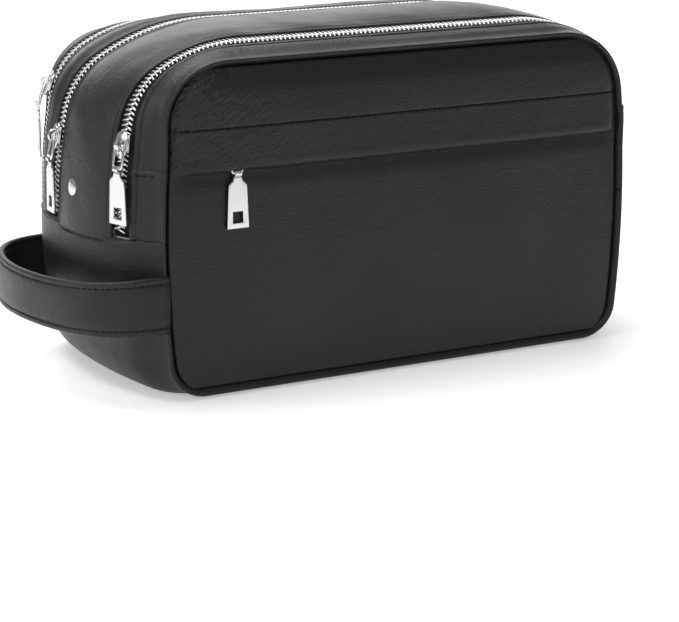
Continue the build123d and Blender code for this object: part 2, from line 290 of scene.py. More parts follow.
def placed_grid(columns, rows, place, close_rows=False):
    """Grid whose point (u, v), each 0 to 1, goes to place(u, v); closed round v for a tube."""
    bm = bmesh.new()
    bmesh.ops.create_grid(bm, x_segments=columns, y_segments=rows, size=1)
    for vert in bm.verts:
        vert.co = place((vert.co.x + 1) / 2, (vert.co.y + 1) / 2)
    if close_rows:
        bmesh.ops.remove_doubles(bm, verts=bm.verts[:], dist=0.002 * MM)
    return bm


def thicken(bm, thickness, outer_dir):
    """Gives an open sheet its thickness on the side away from outer_dir(face)."""
    bm.normal_update()
    face = max(bm.faces, key=lambda f: f.calc_area())
    if face.normal.dot(outer_dir(face.calc_center_median())) < 0:
        bmesh.ops.reverse_faces(bm, faces=bm.faces[:])
        bm.normal_update()
    shell = bmesh.ops.solidify(bm, geom=bm.faces[:], thickness=thickness)
    return shell




# ---- Black leather ----
# Fine-grained cowhide with a semi-matte finish: small pebbles, a few soft creases, and broad patches
# here and there that are slightly shinier and greyer, as if rubbed.

grain = bpy.data.node_groups.new("leather_grain", "ShaderNodeTree")
for socket, low in (("Pebble Size", 1150.0), ("Crease Size", 170.0), ("Crease Depth", 0.35)):
    grain.interface.new_socket(socket, in_out="INPUT", socket_type="NodeSocketFloat").default_value = low
for socket in ("Height", "Rub"):
    grain.interface.new_socket(socket, in_out="OUTPUT", socket_type="NodeSocketFloat")
g_nodes, g_links = grain.nodes, grain.links
g_in, g_out = g_nodes.new("NodeGroupInput"), g_nodes.new("NodeGroupOutput")
g_place = g_nodes.new("ShaderNodeTexCoord")
pebbles = g_nodes.new("ShaderNodeTexVoronoi")
pebbles.feature = "SMOOTH_F1"
pebbles.inputs["Smoothness"].default_value = 0.6
creases = g_nodes.new("ShaderNodeTexNoise")
creases.inputs["Detail"].default_value = 6.0
creases.inputs["Roughness"].default_value = 0.55
creases.inputs["Distortion"].default_value = 0.8
patches = g_nodes.new("ShaderNodeTexNoise")
patches.inputs["Scale"].default_value = 22.0
patches.inputs["Detail"].default_value = 3.0
for texture, size in ((pebbles, "Pebble Size"), (creases, "Crease Size")):
    g_links.new(g_place.outputs["Object"], texture.inputs["Vector"])
    g_links.new(g_in.outputs[size], texture.inputs["Scale"])
g_links.new(g_place.outputs["Object"], patches.inputs["Vector"])
crease_part = g_nodes.new("ShaderNodeMath")
crease_part.operation = "MULTIPLY"
g_links.new(creases.outputs["Fac"], crease_part.inputs[0])
g_links.new(g_in.outputs["Crease Depth"], crease_part.inputs[1])
pebble_part = g_nodes.new("ShaderNodeMath")
pebble_part.operation = "MULTIPLY_ADD"
pebble_part.inputs[1].default_value = -0.5
g_links.new(pebbles.outputs["Distance"], pebble_part.inputs[0])
g_links.new(crease_part.outputs[0], pebble_part.inputs[2])
g_links.new(pebble_part.outputs[0], g_out.inputs["Height"])
g_links.new(patches.outputs["Fac"], g_out.inputs["Rub"])


def leather(name, colour, roughness, crease=1.1, depth=0.4, gathered=0.0):
    """Leather of one colour, with the shared grain in its bump, colour and roughness."""
    material, nodes, links, shader = new_material(name)
    hide = nodes.new("ShaderNodeGroup")
    hide.node_tree = grain
    hide.inputs["Crease Depth"].default_value = crease
    bump = nodes.new("ShaderNodeBump")
    bump.inputs["Strength"].default_value = 0.75
    bump.inputs["Distance"].default_value = depth * MM
    height = hide.outputs["Height"]
    if gathered:
        place = nodes.new("ShaderNodeTexCoord")
        slant = nodes.new("ShaderNodeMapping")
        slant.vector_type = "TEXTURE"
        slant.inputs["Rotation"].default_value = (0, math.radians(52), 0)
        slant.inputs["Scale"].default_value = (1.0, 1.0, 3.0)
        folds = nodes.new("ShaderNodeTexNoise")
        folds.inputs["Scale"].default_value = 620.0
        folds.inputs["Detail"].default_value = 2.0
        folds.inputs["Distortion"].default_value = 0.4
        split = nodes.new("ShaderNodeSeparateXYZ")
        near_seam = nodes.new("ShaderNodeMapRange")
        near_seam.inputs["From Min"].default_value = -0.055
        near_seam.inputs["From Max"].default_value = -0.115
        near_seam.inputs["To Max"].default_value = gathered
        pulled = nodes.new("ShaderNodeMath")
        pulled.operation = "MULTIPLY"
        summed = nodes.new("ShaderNodeMath")
        links.new(place.outputs["Object"], slant.inputs["Vector"])
        links.new(slant.outputs["Vector"], folds.inputs["Vector"])
        links.new(place.outputs["Object"], split.inputs["Vector"])
        links.new(split.outputs["X"], near_seam.inputs["Value"])
        links.new(folds.outputs["Fac"], pulled.inputs[0])
        links.new(near_seam.outputs["Result"], pulled.inputs[1])
        links.new(pulled.outputs[0], summed.inputs[0])
        links.new(height, summed.inputs[1])
        height = summed.outputs[0]
    links.new(height, bump.inputs["Height"])
    links.new(bump.outputs["Normal"], shader.inputs["Normal"])
    tone = nodes.new("ShaderNodeMix")
    tone.data_type = "RGBA"
    tone.inputs["A"].default_value = (*colour, 1)
    tone.inputs["B"].default_value = (*(c * 1.7 + 0.002 for c in colour), 1)
    links.new(hide.outputs["Rub"], tone.inputs["Factor"])
    links.new(tone.outputs["Result"], shader.inputs["Base Color"])
    gloss = nodes.new("ShaderNodeMapRange")
    gloss.inputs["From Min"].default_value = 0.3
    gloss.inputs["From Max"].default_value = 0.7
    gloss.inputs["To Min"].default_value = roughness + 0.05
    gloss.inputs["To Max"].default_value = roughness - 0.05
    links.new(hide.outputs["Rub"], gloss.inputs["Value"])
    links.new(gloss.outputs["Result"], shader.inputs["Roughness"])
    shader.inputs["Specular IOR Level"].default_value = 0.38
    return material


black_leather = leather("black_leather", (0.007, 0.007, 0.0075), 0.40)
gathered_leather = leather("gathered_leather", (0.007, 0.007, 0.0075), 0.40, gathered=4.0)

# ---- Leather bands over the top ----
# Four strips of thin leather run from one end over the top to the other, between the zips.
# Each is folded under at its zip, topstitched 2.8 mm from the fold, and swells over its foam.

HEM = 2.8 * MM
HEM_STEPS = [d * MM for d in (0, 0.2, 0.5, 0.9, 1.4, 2.0, 2.4, 2.65, 2.8, 2.95, 3.2, 3.7, 4.6, 6.0)]
ROLL_RADIUS, ROLL_SINK, ROLL_DEPTH = 2.3 * MM, 0.9 * MM, 66.6 * MM
LEATHER = 1.6 * MM


def hem(distance):
    """Height of a folded, topstitched edge: rolled over, a little swollen, nipped by the thread."""
    turned = max(0.0, 1 - distance / (1.0 * MM))
    roll = -1.0 * MM * (1 - math.sqrt(max(0.0, 1 - turned * turned)))
    swell = 0.3 * MM * math.sin(math.pi * min(1.0, distance / HEM))
    nip = -0.4 * MM * math.exp(-((distance - HEM) / (0.32 * MM)) ** 2)
    return roll + swell + nip


def hem_rows(y, side):
    """Rows in from a folded edge at depth y, going towards `side`."""
    return [(y + side * d, hem(d)) for d in HEM_STEPS]


def roll_rows(side):
    """Rows round the cord-like roll at the front (side -1) or rear (side 1) edge, into its groove."""
    rows = [(side * (ROLL_DEPTH - 3.4 * MM), 0.15 * MM)]
    for degrees in (-38, -22, -6, 10, 26, 42, 58, 74, 90, 106, 122, 138, 154, 170, 184):
        turned = math.radians(degrees)
        rows.append((side * (ROLL_DEPTH + ROLL_RADIUS * math.sin(turned)),
            ROLL_RADIUS * math.cos(turned) - ROLL_SINK))
    return rows


def middle_rows(start, end, count, height):
    """Rows across a band's padded middle."""
    return [
        (start + (end - start) * i / (count + 1), height * math.sin(math.pi * i / (count + 1)) ** 0.7)
        for i in range(1, count + 1)
    ]


def row_point(row, run, lift=0.0):
    """Point on a row of a band; rows past the leather's last depth hang off the form's edge."""
    y, height = row
    held = max(-HALF_DEPTH + 2 * MM, min(HALF_DEPTH - 2 * MM, y))
    return skin(held, run, height + lift) + Vector((0, y - held, 0))


def swelling(point, amount):
    return ruffle(point, 45 * MM, amount, 0.3) + ruffle(point, 14 * MM, amount * 0.35, 0.9)


def band(name, rows, columns, run_at, body, nodes, lift_at=None, thickness=LEATHER, material=None,
        slot="leather"):
    """Thickened strip: rows across it, columns along it, run_at(depth, u) the length round the form."""
    def place(u, v):
        row = rows[round(v * (len(rows) - 1))]
        held = max(-HALF_DEPTH + 2 * MM, min(HALF_DEPTH - 2 * MM, row[0]))
        run = run_at(held, u)
        point = row_point(row, run)
        lift = lift_at(row[0], run, u, point) if lift_at else 0.0
        return row_point(row, run, lift)
    bm = placed_grid(columns, len(rows) - 1, place)
    thicken(bm, thickness, lambda middle: middle - Vector((0, 0, FOLD)))
    return finish_piece(name, bm, material or black_leather, body, *nodes, slot=slot)


def over_top(left, right):
    """Runs from a height on the left end over the top to a height on the right end."""
    return lambda y, u: -run_to(y, left) + (run_to(y, left) + run_to(y, right)) * u


def padded_lift(amount, low, high):
    """Uneven swelling that fades out towards both edges of a band."""
    def lift(y, run, u, point):
        inside = smooth((y - low) / (7 * MM)) * smooth((high - y) / (7 * MM))
        return inside * (swelling(point, amount) + amount * 0.6)
    return lift


FRONT_EDGE = ZIP_DEPTH["front"] - SLOT_HALF
LAP_LEFT, LAP_RIGHT = 114 * MM, 125 * MM
front_rows = roll_rows(-1)[::-1] + middle_rows(-63 * MM, FRONT_EDGE - 6 * MM, 3, 0.2 * MM)
front_rows += hem_rows(FRONT_EDGE, -1)[::-1]
front_strip = band(
    "front_strip_leather", front_rows, 170, over_top(LAP_LEFT - 5 * MM, LAP_RIGHT - 5 * MM),
    "front_flap", ["front_strip", "front_piping_upper"], padded_lift(0.5 * MM, -63 * MM, FRONT_EDGE),
)
centre_low, centre_high = ZIP_DEPTH["front"] + SLOT_HALF, ZIP_DEPTH["main"] - SLOT_HALF
centre_rows = hem_rows(centre_low, 1) + middle_rows(centre_low + 6 * MM, centre_high - 6 * MM, 12, 1.2 * MM)
centre_rows += hem_rows(centre_high, -1)[::-1]
centre_band = band(
    "centre_band_leather", centre_rows, 180, over_top(FOLD - 4 * MM, FOLD - 4 * MM),
    "bag", ["centre_band"], padded_lift(1.1 * MM, centre_low, centre_high),
)
rear_low, rear_high = ZIP_DEPTH["main"] + SLOT_HALF, ZIP_DEPTH["rear"] - SLOT_HALF
rear_rows = hem_rows(rear_low, 1) + middle_rows(rear_low + 6 * MM, rear_high - 6 * MM, 5, 0.6 * MM)
rear_rows += hem_rows(rear_high, -1)[::-1]
rear_band = band(
    "rear_band_leather", rear_rows, 180, over_top(FOLD, FOLD),
    None, ["rear_band"], padded_lift(0.8 * MM, rear_low, rear_high),
)
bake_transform(rear_band)
BACK_EDGE = ZIP_DEPTH["rear"] + SLOT_HALF
back_rows = hem_rows(BACK_EDGE, 1) + middle_rows(BACK_EDGE + 6 * MM, 63 * MM, 2, 0.1 * MM) + roll_rows(1)
rear_strip = band(
    "rear_strip_leather", back_rows, 170, over_top(FOLD + 0.4 * MM, FOLD + 0.4 * MM),
    "rear_flap", ["rear_strip", "rear_piping_upper"], padded_lift(0.5 * MM, BACK_EDGE, 63 * MM),
)

# ---- Gusset round the base and ends ----
# One long strip makes both ends and the base. Its top edge is folded and stitched over the bands,
# and beside the front panel it climbs to a lapped seam under the front zip's slider.

LAP = 0.6 * MM


def round_base(y, u):
    """Runs from the fold on the left end down round the base to the fold on the right end."""
    start, half = run_to(y, FOLD), half_girth(y)
    reach = start + (half - start) * (1 - abs(2 * u - 1))
    return -reach if u < 0.5 else reach


def gusset_lift(y, run, u, point):
    edge = (1 - abs(2 * u - 1)) * (half_girth(max(-66 * MM, min(66 * MM, y))) - run_to(0, FOLD))
    lapped = smooth((y - FRONT_EDGE) / (3 * MM))
    loose = (
        smooth((64 * MM - abs(y)) / (9 * MM)) * smooth((point.z - 12 * MM) / (20 * MM))
        * smooth(edge / (16 * MM))
    )
    return LAP * smooth(point.z / (14 * MM)) + lapped * hem(edge) + loose * (swelling(point,
        0.8 * MM) + 0.2 * MM)


gusset_rows = roll_rows(-1)[::-1] + middle_rows(-63 * MM, 63 * MM, 40, 0) + roll_rows(1)
gusset = band(
    "gusset_leather", gusset_rows, 240, round_base, "bag",
    ["lower_gusset", "front_piping_lower", "rear_piping_lower"], gusset_lift,
)


def lapped_wing(name, side, top):
    """Upper end of the gusset beside the front panel, ending in a rolled, stitched lap."""
    rows = roll_rows(-1)[::-1] + middle_rows(-63 * MM, FRONT_EDGE - 6 * MM, 3, 0.2 * MM)
    rows += hem_rows(FRONT_EDGE, -1)[::-1]

    def run_at(y, u):
        start, end = run_to(y, FOLD), run_to(y, top)
        return side * (start + (end - start) * (1 - (1 - u) ** 1.8))

    def lift_at(y, run, u, point):
        edge = abs(run_to(max(y, -66 * MM), top) - abs(run))
        nearness = smooth((y + 64 * MM) / (4 * MM))
        return LAP + hem(edge) * (0.35 + 0.65 * nearness)

    wing = band(name, rows, 60, run_at, None, [], lift_at)
    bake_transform(wing)
    return wing


lapped_wing("lap_left_leather", -1, LAP_LEFT)
lapped_wing("lap_right_leather", 1, LAP_RIGHT)

# ---- Front and rear panels ----
# Flat panels cut to the section's outline, held in the groove inside the roll. The front one is
# in two: a body panel with a pocket zip, and a yoke whose lower 20 mm hangs over that zip as a welt.

PANEL_INSET = 2.2 * MM
FACE_STEPS = [d * MM for d in (0, 0.25, 0.6, 1.0, 1.5, 2.2, 3.2, 5, 8, 12, 18, 26)]


def panel_half(z):
    return abs(on_form(66 * MM, run_to(66 * MM, z)).x) - PANEL_INSET


def face_rise(distance, crown):
    """Height of a panel above its groove at a distance from its edge."""
    if distance < 0.1 * MM:
        return -5 * MM
    turned = max(0.0, 1 - distance / (1.4 * MM))
    return 2.5 * MM * math.sqrt(max(0.0, 1 - turned ** 2)) + crown * (1 - math.exp(-distance / (24 * MM)))


def edge_spread(half, columns):
    """Places across a panel, close together at both edges."""
    inner = half - FACE_STEPS[-1]
    spots = [-half + d for d in FACE_STEPS]
    spots += [-inner + 2 * inner * i / columns for i in range(1, columns)]
    return spots + [half - d for d in FACE_STEPS[::-1]]


def wall_panel(name, side, heights, rise_at, body, nodes, columns=60, groove=64.6 * MM, material=None):
    """Upright panel at the front (side -1) or rear (side 1), a row for each height."""
    spread = len(edge_spread(0.1, columns))

    def place(u, v):
        z = heights[round(v * (len(heights) - 1))]
        half = panel_half(z)
        x = edge_spread(half, columns)[round(u * (spread - 1))]
        drawn = settled(Vector((x, side * 66 * MM, z))).x - x
        return Vector((x + drawn, side * (groove + rise_at(x, z, half)), z))

    bm = placed_grid(spread - 1, len(heights) - 1, place)
    thicken(bm, LEATHER, lambda middle: Vector((0, side, 0)))
    return finish_piece(name, bm, material or black_leather, body, *nodes)


def outline_distance(x, z, half, low, high):
    """Distance in from a panel's rounded outline."""
    above, below = high - z, z - low
    return max(0.0, min(half - abs(x), above, below))


def wrinkle(x, z, amount):
    """Soft diagonal wrinkles that gather towards the left seam."""
    near = math.exp(-((x + 118 * MM) / (26 * MM)) ** 2)
    wave = math.sin((x * 0.9 + z * 1.5) / (3.1 * MM) + 3 * noise.noise(Vector((x, 0, z)) / (16 * MM)))
    return amount * near * wave


BASE_LOW = section(66 * MM)[5][2] + PANEL_INSET
TOP_HIGH = section(66 * MM)[0][2] - PANEL_INSET
CROWN = 1.3 * MM


def face_height(x, z, half):
    distance = outline_distance(x, z, half, BASE_LOW, TOP_HIGH)
    slack = smooth(distance / (20 * MM))
    point = Vector((x, 0, z))
    waves = ruffle(point, 60 * MM, 0.6 * MM) + ruffle(point, 22 * MM, 0.18 * MM, 2)
    pressed = 0.7 * MM * math.exp(-((x + 93 * MM) / (14 * MM)) ** 2 - ((z - 98 * MM) / (18 * MM)) ** 2)
    return face_rise(distance, CROWN) + slack * waves - pressed


def body_height(x, z, half):
    """The body panel leans back where it goes up behind the welt."""
    return (
        face_height(x, z, half) - TUCK * smooth((z - 102 * MM) / (10 * MM))
        * smooth((half - abs(x)) / (9 * MM))
    )


TUCK = 1.5 * MM
low_heights = [BASE_LOW + d for d in FACE_STEPS] + [BASE_LOW + (26 + 2.6 * i) * MM for i in range(1, 34)]
front_panel = wall_panel(
    "front_panel_leather", -1, low_heights, body_height, None, ["front_panel_lower", "front_panel_pocket"],
)
WELT_LOW, SEAM = 110.8 * MM, 133 * MM
WELT_PROUD = 3.3 * MM


def welt_height(x, z, half):
    below = z - WELT_LOW
    corner = half - x - 1.5 * MM
    edge = min(below, corner if x > 0 else below)
    turned = min(1.0, max(0.0, 1 - edge / (5.0 * MM)))
    roll = 0.35 * MM * math.sin(math.pi * turned) - (WELT_PROUD + TUCK) * (1 - math.sqrt(max(0.0,
        1 - turned ** 2.2)))
    nip = -0.4 * MM * math.exp(-((z - SEAM) / (0.5 * MM)) ** 2)
    tuck = smooth((half - abs(x)) / (7 * MM))
    return face_height(x, z, half) + tuck * (WELT_PROUD + roll) + nip + wrinkle(x, z, 0.12 * MM)


def yoke_height(x, z, half):
    fade = smooth((TOP_HIGH - z) / (13 * MM))
    puff = 0.2 * MM * smooth((z - SEAM) / (6 * MM))
    nip = -0.4 * MM * math.exp(-((z - SEAM) / (0.5 * MM)) ** 2)
    tuck = smooth((half - abs(x)) / (7 * MM))
    return face_height(x, z, half) + tuck * WELT_PROUD * fade + nip + puff * tuck + wrinkle(x, z, 0.06 * MM)


welt_heights = [WELT_LOW + d * MM for d in (0, 0.12, 0.4, 0.8, 1.3, 1.8, 2.6, 4, 6, 8, 10, 12, 14, 16)]
welt_heights += [SEAM + d * MM for d in (-2.5, -1.6, -1, -0.6, -0.3, 0)]
front_welt = wall_panel("welt_leather", -1, welt_heights, welt_height, "front_flap", ["front_welt"],
    material=gathered_leather)
yoke_heights = [SEAM + d * MM for d in (0, 0.3, 0.6, 1, 1.6, 2.5, 3.5, 5, 7, 9, 11, 13)]
yoke_top = TOP_HIGH - 5 * MM
yoke_heights += [yoke_heights[-1] + (yoke_top - yoke_heights[-1]) * i / 5 for i in range(1, 6)]
yoke_heights += [TOP_HIGH - d for d in FACE_STEPS[7::-1]][1:]
front_yoke = wall_panel("yoke_leather", -1, yoke_heights, yoke_height, "front_flap", ["front_yoke"],
    material=gathered_leather)
rear_low_heights = (
    [BASE_LOW + d for d in FACE_STEPS]
    + [BASE_LOW + 26 * MM + (FOLD - BASE_LOW - 26 * MM) * i / 10 for i in range(1, 11)]
)
rear_up_heights = [FOLD + 0.2 * MM + (TOP_HIGH - 26 * MM - FOLD) * i / 14 for i in range(14)]
rear_up_heights += [TOP_HIGH - d for d in FACE_STEPS[::-1]]
rear_panel_lower = wall_panel("rear_panel_low_leather", 1, rear_low_heights, face_height, "bag",
    ["rear_panel_lower"])
rear_panel_upper = wall_panel("rear_panel_top_leather", 1, rear_up_heights, face_height, "rear_flap",
    ["rear_panel_upper"])
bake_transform(front_panel)

# ---- Zips ----
# Three metal zips with bright teeth on black woven tape, each sunk between two folded edges.
# Every tooth is cut from nickelled wire and clamped to its tape's edge, 2.5 mm apart on each side.

TOOTH_PITCH = 2.5 * MM
TOOTH = (0.9 * MM, 4.7 * MM, 1.7 * MM)
TOOTH_SINK = 0.9 * MM
SLOT_BOTTOM = 83 * MM


def metal(name, colour, roughness, scratch=0.05):
    """Plated metal with faint uneven polish."""
    material, nodes, links, shader = new_material(name)
    shader.inputs["Base Color"].default_value = (*colour, 1)
    shader.inputs["Metallic"].default_value = 1.0
    place = nodes.new("ShaderNodeTexCoord")
    wear = nodes.new("ShaderNodeTexNoise")
    wear.inputs["Scale"].default_value = 420.0
    wear.inputs["Detail"].default_value = 3.0
    links.new(place.outputs["Object"], wear.inputs["Vector"])
    polish = nodes.new("ShaderNodeMapRange")
    polish.inputs["To Min"].default_value = roughness - scratch
    polish.inputs["To Max"].default_value = roughness + scratch
    links.new(wear.outputs["Fac"], polish.inputs["Value"])
    links.new(polish.outputs["Result"], shader.inputs["Roughness"])
    return material


def woven(name, colour, roughness, thread, depth, sheen=0.2, ribs=False):
    """Cloth whose warp and weft show in its bump, with a soft sheen."""
    material, nodes, links, shader = new_material(name)
    place = nodes.new("ShaderNodeTexCoord")
    waves = []
    for direction in ("X", "Z") if not ribs else ("Z", "Z"):
        wave = nodes.new("ShaderNodeTexWave")
        wave.bands_direction = direction
        wave.inputs["Scale"].default_value = thread
        wave.inputs["Distortion"].default_value = 0.4
        links.new(place.outputs["Object"], wave.inputs["Vector"])
        waves.append(wave)
    weave = nodes.new("ShaderNodeMath")
    weave.operation = "ADD"
    links.new(waves[0].outputs["Fac"], weave.inputs[0])
    links.new(waves[1].outputs["Fac"], weave.inputs[1])
    bump = nodes.new("ShaderNodeBump")
    bump.inputs["Strength"].default_value = 0.5
    bump.inputs["Distance"].default_value = depth * MM
    links.new(weave.outputs[0], bump.inputs["Height"])
    links.new(bump.outputs["Normal"], shader.inputs["Normal"])
    shader.inputs["Base Color"].default_value = (*colour, 1)
    shader.inputs["Roughness"].default_value = roughness
    shader.inputs["Sheen Weight"].default_value = sheen
    shader.inputs["Sheen Roughness"].default_value = 0.4
    return material


nickel = metal("polished_nickel", (0.70, 0.70, 0.71), 0.14)
tooth_metal = metal("tooth_nickel", (0.68, 0.68, 0.67), 0.22)
tape_cloth = woven("zip_tape_cloth", (0.006, 0.006, 0.0065), 0.75, 260, 0.12)


def repaint(material, *names):
    """CAD parts that already have their real shape take the better surface."""
    for part in names:
        mesh = frame["nodes"][part].data
        mesh.materials.clear()
        mesh.materials.append(material)


repaint(tape_cloth, "pocket_zip_tapes", "mesh_zip_tapes")


def tape_side(zip_name, side, body, node):
    """One woven tape, from under the folded leather to the foot of its teeth."""
    depth = ZIP_DEPTH[zip_name]
    rows = [(depth + side * d * MM, -2.1 * MM if d > 2.6 else -1.5 * MM) for d in (7.2, 5.5, 4, 3, 2.4, 1.9,
        1.4)]
    tape = band(
        node + "_cloth", rows[::side], 150, over_top(SLOT_BOTTOM, SLOT_BOTTOM), body, [node],
        thickness=0.6 * MM, material=tape_cloth, slot="zip_tape",
    )
    return tape


def teeth_row(name, zip_name, side, body, node):
    """One side's teeth, from the slot's foot on the left end over the top to its foot on the right."""
    depth = ZIP_DEPTH[zip_name]
    start, end = -run_to(depth, SLOT_BOTTOM), run_to(depth, SLOT_BOTTOM)
    count = int((end - start) / TOOTH_PITCH)
    bm = bmesh.new()
    for number in range(count):
        run = start + (number + (0.25 if side < 0 else 0.75)) * TOOTH_PITCH
        out = outward(depth, run)
        along = (on_form(depth, run + MM) - on_form(depth, run - MM)).normalized()
        across = out.cross(along).normalized()
        if across.y * side < 0:
            across = -across
        root = on_form(depth, run) + across * (TOOTH[1] / 2 - 1.0 * MM) - out * TOOTH_SINK
        bar = (across - along * 0.3).normalized()
        turn = Matrix((out.cross(bar) * TOOTH[0], bar * TOOTH[1], out * TOOTH[2])).transposed().to_4x4()
        bmesh.ops.create_cube(bm, size=1, matrix=Matrix.Translation(root) @ turn)
    bmesh.ops.bevel(bm, geom=bm.edges[:], offset=0.22 * MM, segments=1, affect="EDGES", profile=0.5,
        material=-1)
    return finish_piece(name, bm, tooth_metal, body, node, slot="zip_teeth")


for zip_name, near, far in (
    ("front", "front_flap", "bag"), ("main", "bag", "rear_section"), ("rear", "rear_section", "rear_flap"),
):
    tape_side(zip_name, -1, near, zip_name + "_zip_tape_front")
    tape_side(zip_name, 1, far, zip_name + "_zip_tape_back")
teeth_row("front_teeth_near", "front", -1, "front_flap", "front_zip_teeth_front")
teeth_row("front_teeth_far", "front", 1, "bag", "front_zip_teeth_back")
teeth_row("main_teeth_near", "main", -1, "bag", "main_zip_teeth_front")
teeth_row("main_teeth_far", "main", 1, "rear_section", "main_zip_teeth_back")
teeth_row("rear_teeth_near", "rear", -1, "rear_section", "rear_zip_teeth_front")
teeth_row("rear_teeth_far", "rear", 1, "rear_flap", "rear_zip_teeth_back")

# ---- Sliders, links and pulls ----
# Cast and nickelled. A slider has a shouldered plate with turned-down rims and an arched bridge;
# a square wire link hangs from the bridge and carries a long flat pull with a square window.

PIVOT_OUT = 3.3 * MM
LINK_LENGTH, LINK_WIDTH, WIRE = 11.5 * MM, 6.6 * MM, 0.65 * MM
SLIDER_HEIGHT = {"front": 125 * MM, "main": 120 * MM, "rear": 141 * MM}


def seated_frame(zip_name):
    """Frame of a slider on the left end, X across the zip, Y up it, Z outward; and its level copy."""
    y, z = ZIP_DEPTH[zip_name], SLIDER_HEIGHT[zip_name]
    lean = math.asin(max(-1.0, min(1.0, outward(y, -run_to(y, z)).z)))
    turn = math.atan(18 * (bulge(y + MM / 2) ** 0.75 - bulge(y - MM / 2) ** 0.75))
    out = Vector((-math.cos(turn), -math.sin(turn), 0))
    across = Vector((math.sin(turn), -math.cos(turn), 0))
    upright = Matrix((across, Vector((0, 0, 1)), out)).transposed().to_4x4()
    pin = Vector(next(j for j in frame["joints"] if j["name"] == zip_name + "_link_swing")["pos_m"])
    tilted = upright @ Matrix.Rotation(-lean, 4, "X")
    return Matrix.Translation(pin) @ tilted, upright


def plate(bm, width, length, thickness, centre, taper=0.0, squareness=3.0):
    """Rounded plate, narrower towards its foot by `taper`, with softened rims."""
    made = bmesh.ops.create_circle(bm, cap_ends=True, segments=32, radius=1)["verts"]
    for vert in made:
        angle = math.atan2(vert.co.y, vert.co.x)
        cos, sin = math.cos(angle), math.sin(angle)
        reach = (abs(cos) ** squareness + abs(sin) ** squareness) ** (-1 / squareness)
        x, y = reach * cos, reach * sin
        vert.co = Vector((x * width / 2 * (1 + taper * (y - 1) / 2), y * length / 2, 0)) + Vector(centre)
    cap = next(face for face in made[0].link_faces if len(face.verts) == 32)
    grown = bmesh.ops.extrude_face_region(bm, geom=[cap])
    raised = [item for item in grown["geom"] if isinstance(item, bmesh.types.BMVert)]
    bmesh.ops.translate(bm, verts=raised, vec=(0, 0, thickness))
    top = next(item for item in grown["geom"] if isinstance(item, bmesh.types.BMFace))
    rims = list(top.edges) + list(cap.edges) if cap.is_valid else list(top.edges)
    bmesh.ops.bevel(bm, geom=rims, offset=thickness * 0.3, segments=2, affect="EDGES", profile=0.5,
        material=-1)


def block(bm, size, centre, soften):
    """Box with rounded edges."""
    made = bmesh.ops.create_cube(bm, size=1, matrix=Matrix.Translation(centre) @ Matrix.Diagonal((*size, 1)))
    edges = list({edge for vert in made["verts"] for edge in vert.link_edges})
    bmesh.ops.bevel(bm, geom=edges, offset=soften, segments=2, affect="EDGES", profile=0.5, material=-1)


def arch(bm, radius, wide, thick, centre):
    """Half ring standing on a plate, its hole across the slider."""
    made = bmesh.ops.create_grid(
        bm, x_segments=1, y_segments=1, size=0.5,
        matrix=Matrix.Translation(Vector(centre) + Vector((0, -radius, 0))) @ Matrix.Diagonal((wide, thick,
            1, 1)),
    )["verts"]
    face = next(f for f in made[0].link_faces)
    bmesh.ops.spin(
        bm, geom=[face, *face.edges, *face.verts], cent=centre, axis=(1, 0, 0), angle=-math.pi, steps=14,
    )


def wire_ring(bm, width, length, wire, centre):
    """Closed link of round wire, a rounded rectangle in its own XY plane."""
    around, sides, corner = 56, 10, 1.6 * MM
    loop = bmesh.ops.create_grid(bm, x_segments=around, y_segments=sides, size=1)["verts"]
    for vert in loop:
        turn = (vert.co.x + 1) * math.pi
        tube = (vert.co.y + 1) * math.pi
        cos, sin = math.cos(turn), math.sin(turn)
        reach = (abs(cos) ** 6 + abs(sin) ** 6) ** (-1 / 6)
        middle = Vector((reach * cos * width / 2, reach * sin * length / 2, 0))
        out = Vector((cos, sin, 0))
        vert.co = middle + out * wire * math.cos(tube) + Vector((0, 0,
            wire * math.sin(tube))) + Vector(centre)
    bmesh.ops.remove_doubles(bm, verts=loop, dist=0.01 * MM)


def slider_metal(bm):
    """Slider in its own frame, whose origin is the pull's pin above the bridge."""
    surface = -PIVOT_OUT
    plate(bm, 9.4 * MM, 13.4 * MM, 1.2 * MM, (0, 0, surface + 0.9 * MM), taper=0.34, squareness=2.6)
    plate(bm, 6.2 * MM, 9.6 * MM, 0.7 * MM, (0, 0.4 * MM, surface + 1.9 * MM), taper=0.2, squareness=2.4)
    plate(bm, 9.0 * MM, 13.0 * MM, 1.0 * MM, (0, 0, surface - 5.9 * MM), taper=0.3, squareness=2.6)
    for x in (-3.9, 3.9):
        block(bm, (0.8 * MM, 8.6 * MM, 1.5 * MM), (x * MM, 1.0 * MM, surface + 0.6 * MM), 0.3 * MM)
    block(bm, (0.6 * MM, 3 * MM, 6.2 * MM), (0, 3.4 * MM, surface - 2.0 * MM), 0.15 * MM)
    arch(bm, 2.9 * MM, 2.7 * MM, 1.1 * MM, (0, 0.1 * MM, surface + 2.2 * MM))


